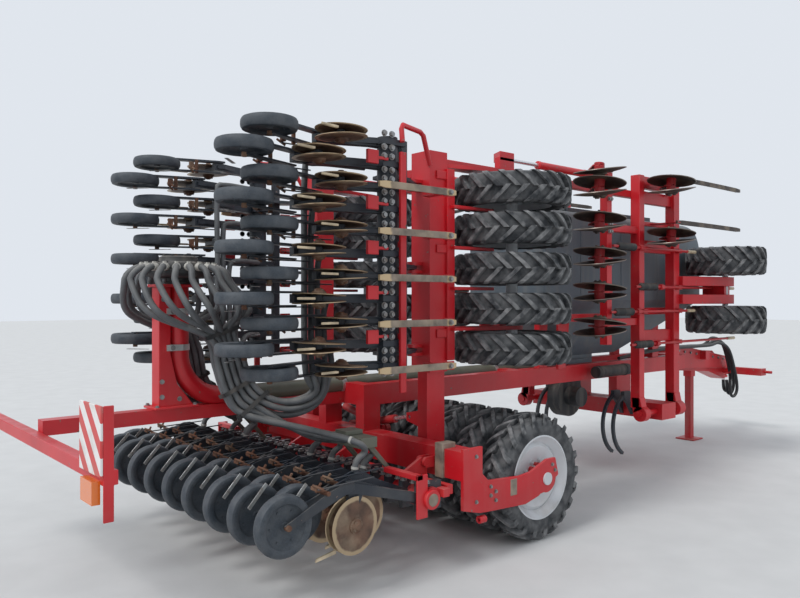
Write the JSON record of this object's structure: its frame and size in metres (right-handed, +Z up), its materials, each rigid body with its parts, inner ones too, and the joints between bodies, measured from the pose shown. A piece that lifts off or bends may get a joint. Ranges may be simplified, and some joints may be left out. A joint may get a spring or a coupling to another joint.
{
  "type": "folded seed drill",
  "caption": "Trailed seed drill with folded wings, tyre packer, disc harrow, coulters with press wheels, hopper and air distributor, parked on its jack.",
  "frame": {"origin": "on the ground under the middle of the machine's length and width", "axes": "+X forward to the tractor along the machine's length, +Y to the left, +Z up"},
  "size_m": [8.925, 2.74, 2.99],
  "materials": {
    "red_paint": "gloss red paint with dust",
    "black_paint": "blue-black satin paint",
    "tank_plastic": "slate-grey moulded plastic",
    "lid_plastic": "dark grey moulded plastic",
    "black_plastic": "black moulded plastic",
    "pipe_paint": "olive-grey paint",
    "board_white": "striped reflective sheet",
    "lamp_orange": "orange lens",
    "tyre": "dusty tyre rubber",
    "rim_silver": "silver-white paint",
    "disc_steel": "worn brown steel",
    "press_rubber": "dark blue-grey rubber",
    "bar_steel": "weathered spring steel",
    "rod_chrome": "bright rod"
  },
  "bodies": {
    "frame": {"main_frame": "red_paint", "packer_frame": "red_paint", "drawbar": "red_paint", "hopper": "tank_plastic", "fan": "black_paint", "seed_pipe": "pipe_paint", "tower": "red_paint", "distributor": "black_plastic", "light_bar": "red_paint", "warning_boards": "board_white", "lamps": "lamp_orange", "track_tines": "black_paint"},
    "hitch": {"hitch_head": "red_paint"},
    "jack": {"jack_leg": "red_paint"},
    "lid": {"hopper_lid": "lid_plastic"},
    "packer_center": {"tyres_center": "tyre", "rims_center": "rim_silver"},
    "drill_center": {"seed_bar_center": "red_paint", "coulters_center": "black_paint", "seed_discs_center": "disc_steel"},
    "press_front_center": {"press_front_center": "press_rubber"},
    "press_rear_center": {"press_rear_center": "press_rubber"},
    "wing_right": {"packer_beam_right": "red_paint", "front_frame_right": "red_paint", "harrow_arms_right": "red_paint", "harrow_discs_right": "disc_steel", "drag_bars_right": "bar_steel"},
    "front_wheels_right": {"front_tyres_right": "tyre", "front_rims_right": "rim_silver"},
    "packer_right": {"tyres_right": "tyre", "rims_right": "rim_silver"},
    "drill_right": {"seed_bar_right": "red_paint", "coulters_right": "black_paint", "seed_discs_right": "disc_steel"},
    "press_front_right": {"press_front_right": "press_rubber"},
    "press_rear_right": {"press_rear_right": "press_rubber"},
    "ram_barrel_right": {"ram_barrel_right": "red_paint"},
    "ram_rod_right": {"ram_rod_right": "rod_chrome"},
    "wing_left": {"packer_beam_left": "red_paint", "front_frame_left": "red_paint", "harrow_arms_left": "red_paint", "harrow_discs_left": "disc_steel", "drag_bars_left": "bar_steel"},
    "front_wheels_left": {"front_tyres_left": "tyre", "front_rims_left": "rim_silver"},
    "packer_left": {"tyres_left": "tyre", "rims_left": "rim_silver"},
    "drill_left": {"seed_bar_left": "red_paint", "coulters_left": "black_paint", "seed_discs_left": "disc_steel"},
    "press_front_left": {"press_front_left": "press_rubber"},
    "press_rear_left": {"press_rear_left": "press_rubber"},
    "ram_barrel_left": {"ram_barrel_left": "red_paint"},
    "ram_rod_left": {"ram_rod_left": "rod_chrome"}
  },
  "joints": [
    {"name": "hitch_swivel", "type": "hinge", "parent": "frame", "child": "hitch", "pos_m": [4.1325, 0, 0.8], "axis": [0, 0, 1], "range_deg": [-45, 45]},
    {"name": "jack_slide", "type": "slide", "parent": "frame", "child": "jack", "axis": [0, 0, 1], "range_m": [0, 0.45]},
    {"name": "lid_hinge", "type": "hinge", "parent": "frame", "child": "lid", "pos_m": [0.2265, 0, 2.621], "axis": [0, -1, 0], "range_deg": [0, 100]},
    {"name": "packer_spin_center", "type": "hinge", "parent": "frame", "child": "packer_center", "pos_m": [-1.2875, 0, 0.46], "axis": [0, 1, 0], "continuous": true},
    {"name": "drill_lift_center", "type": "hinge", "parent": "frame", "child": "drill_center", "pos_m": [-2.2175, 0, 0.665], "axis": [0, -1, 0], "range_deg": [0, 15]},
    {"name": "press_front_spin_center", "type": "hinge", "parent": "drill_center", "child": "press_front_center", "pos_m": [-3.2875, 0, 0.525], "axis": [0, 1, 0], "continuous": true},
    {"name": "press_rear_spin_center", "type": "hinge", "parent": "drill_center", "child": "press_rear_center", "pos_m": [-3.4575, 0, 0.525], "axis": [0, 1, 0], "continuous": true},
    {"name": "wing_fold_right", "type": "hinge", "parent": "frame", "child": "wing_right", "pos_m": [-1.2875, -0.74, 0.63], "axis": [1, 0, 0], "range_deg": [0, 90]},
    {"name": "packer_spin_right", "type": "hinge", "parent": "wing_right", "child": "packer_right", "pos_m": [-1.1575, -0.91, 2], "axis": [0, 0, 1], "continuous": true},
    {"name": "front_wheel_spin_right", "type": "hinge", "parent": "wing_right", "child": "front_wheels_right", "pos_m": [2.3725, -0.9, 2], "axis": [0, 0, 1], "continuous": true},
    {"name": "drill_lift_right", "type": "hinge", "parent": "wing_right", "child": "drill_right", "pos_m": [-2.0175, -0.705, 2], "axis": [0, 0, 1], "range_deg": [0, 13]},
    {"name": "press_front_spin_right", "type": "hinge", "parent": "drill_right", "child": "press_front_right", "pos_m": [-3.2875, -0.845, 2], "axis": [0, 0, 1], "continuous": true},
    {"name": "press_rear_spin_right", "type": "hinge", "parent": "drill_right", "child": "press_rear_right", "pos_m": [-3.4575, -0.845, 2], "axis": [0, 0, 1], "continuous": true},
    {"name": "ram_swing_right", "type": "hinge", "parent": "frame", "child": "ram_barrel_right", "pos_m": [-1.9095, 0.16, 0.73], "axis": [1, 0, 0], "range_deg": [0, 8.47]},
    {"name": "ram_stroke_right", "type": "slide", "parent": "ram_barrel_right", "child": "ram_rod_right", "axis": [0, -0.9801, 0.1987], "range_m": [0, 0.39651]},
    {"name": "wing_fold_left", "type": "hinge", "parent": "frame", "child": "wing_left", "pos_m": [-1.2875, 0.74, 0.63], "axis": [-1, 0, 0], "range_deg": [0, 90]},
    {"name": "packer_spin_left", "type": "hinge", "parent": "wing_left", "child": "packer_left", "pos_m": [-1.1575, 0.91, 2], "axis": [0, 0, 1], "continuous": true},
    {"name": "front_wheel_spin_left", "type": "hinge", "parent": "wing_left", "child": "front_wheels_left", "pos_m": [2.3725, 0.9, 2], "axis": [0, 0, 1], "continuous": true},
    {"name": "drill_lift_left", "type": "hinge", "parent": "wing_left", "child": "drill_left", "pos_m": [-2.0175, 0.705, 2], "axis": [0, 0, -1], "range_deg": [0, 13]},
    {"name": "press_front_spin_left", "type": "hinge", "parent": "drill_left", "child": "press_front_left", "pos_m": [-3.2875, 0.845, 2], "axis": [0, 0, 1], "continuous": true},
    {"name": "press_rear_spin_left", "type": "hinge", "parent": "drill_left", "child": "press_rear_left", "pos_m": [-3.4575, 0.845, 2], "axis": [0, 0, 1], "continuous": true},
    {"name": "ram_swing_left", "type": "hinge", "parent": "frame", "child": "ram_barrel_left", "pos_m": [-1.8105, -0.16, 0.73], "axis": [-1, 0, 0], "range_deg": [0, 8.47]},
    {"name": "ram_stroke_left", "type": "slide", "parent": "ram_barrel_left", "child": "ram_rod_left", "axis": [0, 0.9801, 0.1987], "range_m": [0, 0.39651]}
  ],
  "couplings": [
    {"joint": "ram_swing_right", "follows": "wing_fold_right", "ratio": 0.094134},
    {"joint": "ram_stroke_right", "follows": "wing_fold_right", "m_per_rad": 0.25243},
    {"joint": "ram_swing_left", "follows": "wing_fold_left", "ratio": 0.094134},
    {"joint": "ram_stroke_left", "follows": "wing_fold_left", "m_per_rad": 0.25243}
  ]
}
